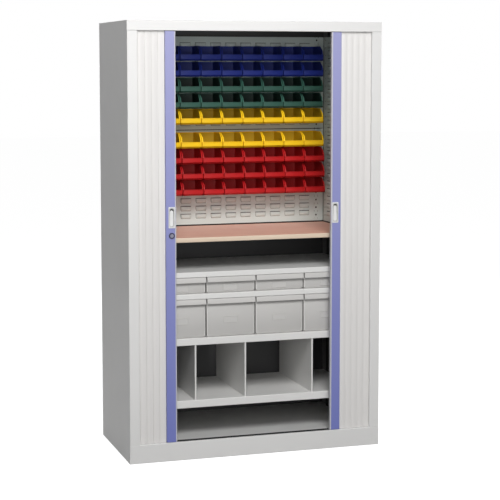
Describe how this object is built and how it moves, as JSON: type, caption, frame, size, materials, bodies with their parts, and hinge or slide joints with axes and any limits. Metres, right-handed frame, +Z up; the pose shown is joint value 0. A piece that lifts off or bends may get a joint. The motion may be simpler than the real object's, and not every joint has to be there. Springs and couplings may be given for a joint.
{
  "type": "roll front tool cabinet",
  "caption": "Tall steel tool cabinet with two sideways roll fronts, a louvred wall of open bins, a worktop, drawers and divided shelves.",
  "frame": {"origin": "on the floor, at the middle of the cabinet's outer width and depth", "axes": "+X to the cabinet's right as seen from the front, +Y to its back, +Z up; the roll fronts face -Y"},
  "size_m": [1.2, 0.58, 1.98],
  "materials": {
    "case_paint": "pale grey powder coat",
    "slat_paint": "pale grey powder coat",
    "bar_blue": "soft violet-blue powder coat",
    "plate_grey": "warm grey powder coat",
    "drawer_grey": "fine matt grain",
    "track_black": "dark glass-filled nylon",
    "zinc_steel": "zinc plated",
    "worktop_wood": "clear lacquer",
    "bin_blue": "injection moulded, satin",
    "bin_green": "injection moulded, satin",
    "bin_yellow": "injection moulded, satin",
    "bin_red": "injection moulded, satin",
    "pull_grey": "satin moulding"
  },
  "bodies": {
    "case": {"left_side_panel": "case_paint", "right_side_panel": "case_paint", "top_panel": "case_paint", "plinth": "case_paint", "base_panel": "case_paint", "back_panel": "case_paint", "left_liner": "case_paint", "right_liner": "case_paint", "top_track": "track_black", "bottom_track": "track_black", "shelf_uprights": "zinc_steel", "shelf_clips": "zinc_steel", "louvre_panel_upper": "plate_grey", "louvre_panel_lower": "plate_grey", "left_louvre_wall": "plate_grey", "right_louvre_wall": "plate_grey", "bins_blue_top": "bin_blue", "bins_blue_low": "bin_blue", "bins_green_top": "bin_green", "bins_green_low": "bin_green", "bins_yellow_top": "bin_yellow", "bins_yellow_low": "bin_yellow", "bins_red_top": "bin_red", "bins_red_mid": "bin_red", "bins_red_low": "bin_red", "worktop": "worktop_wood", "worktop_brackets": "zinc_steel", "cover_shelf": "case_paint", "tray_shelf": "case_paint", "main_shelf": "case_paint", "divider_shelf": "case_paint", "drawer_guides": "zinc_steel", "shelf_dividers": "case_paint", "case_screws": "zinc_steel"},
    "left_roll_front": {"left_bar": "bar_blue", "left_edge_strip": "pull_grey", "left_front_leaf": "slat_paint", "left_pull": "pull_grey", "lock_collar": "zinc_steel"},
    "left_leaf_2": {"left_leaf_2": "slat_paint"},
    "left_leaf_3": {"left_leaf_3": "slat_paint"},
    "left_leaf_4": {"left_leaf_4": "slat_paint"},
    "right_roll_front": {"right_bar": "bar_blue", "right_edge_strip": "pull_grey", "right_front_leaf": "slat_paint", "right_pull": "pull_grey", "strike_plate": "zinc_steel"},
    "right_leaf_2": {"right_leaf_2": "slat_paint"},
    "right_leaf_3": {"right_leaf_3": "slat_paint"},
    "right_leaf_4": {"right_leaf_4": "slat_paint"},
    "lock": {"lock_barrel": "zinc_steel", "lock_hook": "zinc_steel"},
    "small_drawer_1": {"small_drawer_1": "drawer_grey"},
    "small_drawer_2": {"small_drawer_2": "drawer_grey"},
    "small_drawer_3": {"small_drawer_3": "drawer_grey"},
    "small_drawer_4": {"small_drawer_4": "drawer_grey"},
    "large_drawer_1": {"large_drawer_1": "drawer_grey"},
    "large_drawer_2": {"large_drawer_2": "drawer_grey"},
    "large_drawer_3": {"large_drawer_3": "drawer_grey"},
    "large_drawer_4": {"large_drawer_4": "drawer_grey"}
  },
  "joints": [
    {"name": "left_roll_front_slide", "type": "slide", "parent": "case", "child": "left_roll_front", "axis": [-1, 0, 0], "range_m": [-0.3795, 0.019]},
    {"name": "left_leaf_2_slide", "type": "slide", "parent": "case", "child": "left_leaf_2", "axis": [-1, 0, 0], "range_m": [-0.26484, 0.01336]},
    {"name": "left_leaf_3_slide", "type": "slide", "parent": "case", "child": "left_leaf_3", "axis": [-1, 0, 0], "range_m": [-0.15009, 0.00761]},
    {"name": "left_leaf_4_slide", "type": "slide", "parent": "case", "child": "left_leaf_4", "axis": [-1, 0, 0], "range_m": [-0.03534, 0.00186]},
    {"name": "right_roll_front_slide", "type": "slide", "parent": "case", "child": "right_roll_front", "axis": [1, 0, 0], "range_m": [-0.3565, 0.042]},
    {"name": "right_leaf_2_slide", "type": "slide", "parent": "case", "child": "right_leaf_2", "axis": [1, 0, 0], "range_m": [-0.2488, 0.0294]},
    {"name": "right_leaf_3_slide", "type": "slide", "parent": "case", "child": "right_leaf_3", "axis": [1, 0, 0], "range_m": [-0.141, 0.0167]},
    {"name": "right_leaf_4_slide", "type": "slide", "parent": "case", "child": "right_leaf_4", "axis": [1, 0, 0], "range_m": [-0.0332, 0.004]},
    {"name": "lock_turn", "type": "hinge", "parent": "left_roll_front", "child": "lock", "pos_m": [-0.401, -0.28, 1.025], "axis": [0, -1, 0], "range_deg": [0, 90]},
    {"name": "small_drawer_1_slide", "type": "slide", "parent": "case", "child": "small_drawer_1", "axis": [0, -1, 0], "range_m": [0, 0.009]},
    {"name": "small_drawer_2_slide", "type": "slide", "parent": "case", "child": "small_drawer_2", "axis": [0, -1, 0], "range_m": [0, 0.33]},
    {"name": "small_drawer_3_slide", "type": "slide", "parent": "case", "child": "small_drawer_3", "axis": [0, -1, 0], "range_m": [0, 0.33]},
    {"name": "small_drawer_4_slide", "type": "slide", "parent": "case", "child": "small_drawer_4", "axis": [0, -1, 0], "range_m": [0, 0.009]},
    {"name": "large_drawer_1_slide", "type": "slide", "parent": "case", "child": "large_drawer_1", "axis": [0, -1, 0], "range_m": [0, 0.009]},
    {"name": "large_drawer_2_slide", "type": "slide", "parent": "case", "child": "large_drawer_2", "axis": [0, -1, 0], "range_m": [0, 0.33]},
    {"name": "large_drawer_3_slide", "type": "slide", "parent": "case", "child": "large_drawer_3", "axis": [0, -1, 0], "range_m": [0, 0.33]},
    {"name": "large_drawer_4_slide", "type": "slide", "parent": "case", "child": "large_drawer_4", "axis": [0, -1, 0], "range_m": [0, 0.009]}
  ],
  "couplings": [
    {"joint": "left_leaf_2_slide", "follows": "left_roll_front_slide", "ratio": 0.69762},
    {"joint": "left_leaf_3_slide", "follows": "left_roll_front_slide", "ratio": 0.39523},
    {"joint": "left_leaf_4_slide", "follows": "left_roll_front_slide", "ratio": 0.092848},
    {"joint": "right_leaf_2_slide", "follows": "right_roll_front_slide", "ratio": 0.69762},
    {"joint": "right_leaf_3_slide", "follows": "right_roll_front_slide", "ratio": 0.39523},
    {"joint": "right_leaf_4_slide", "follows": "right_roll_front_slide", "ratio": 0.092848}
  ]
}
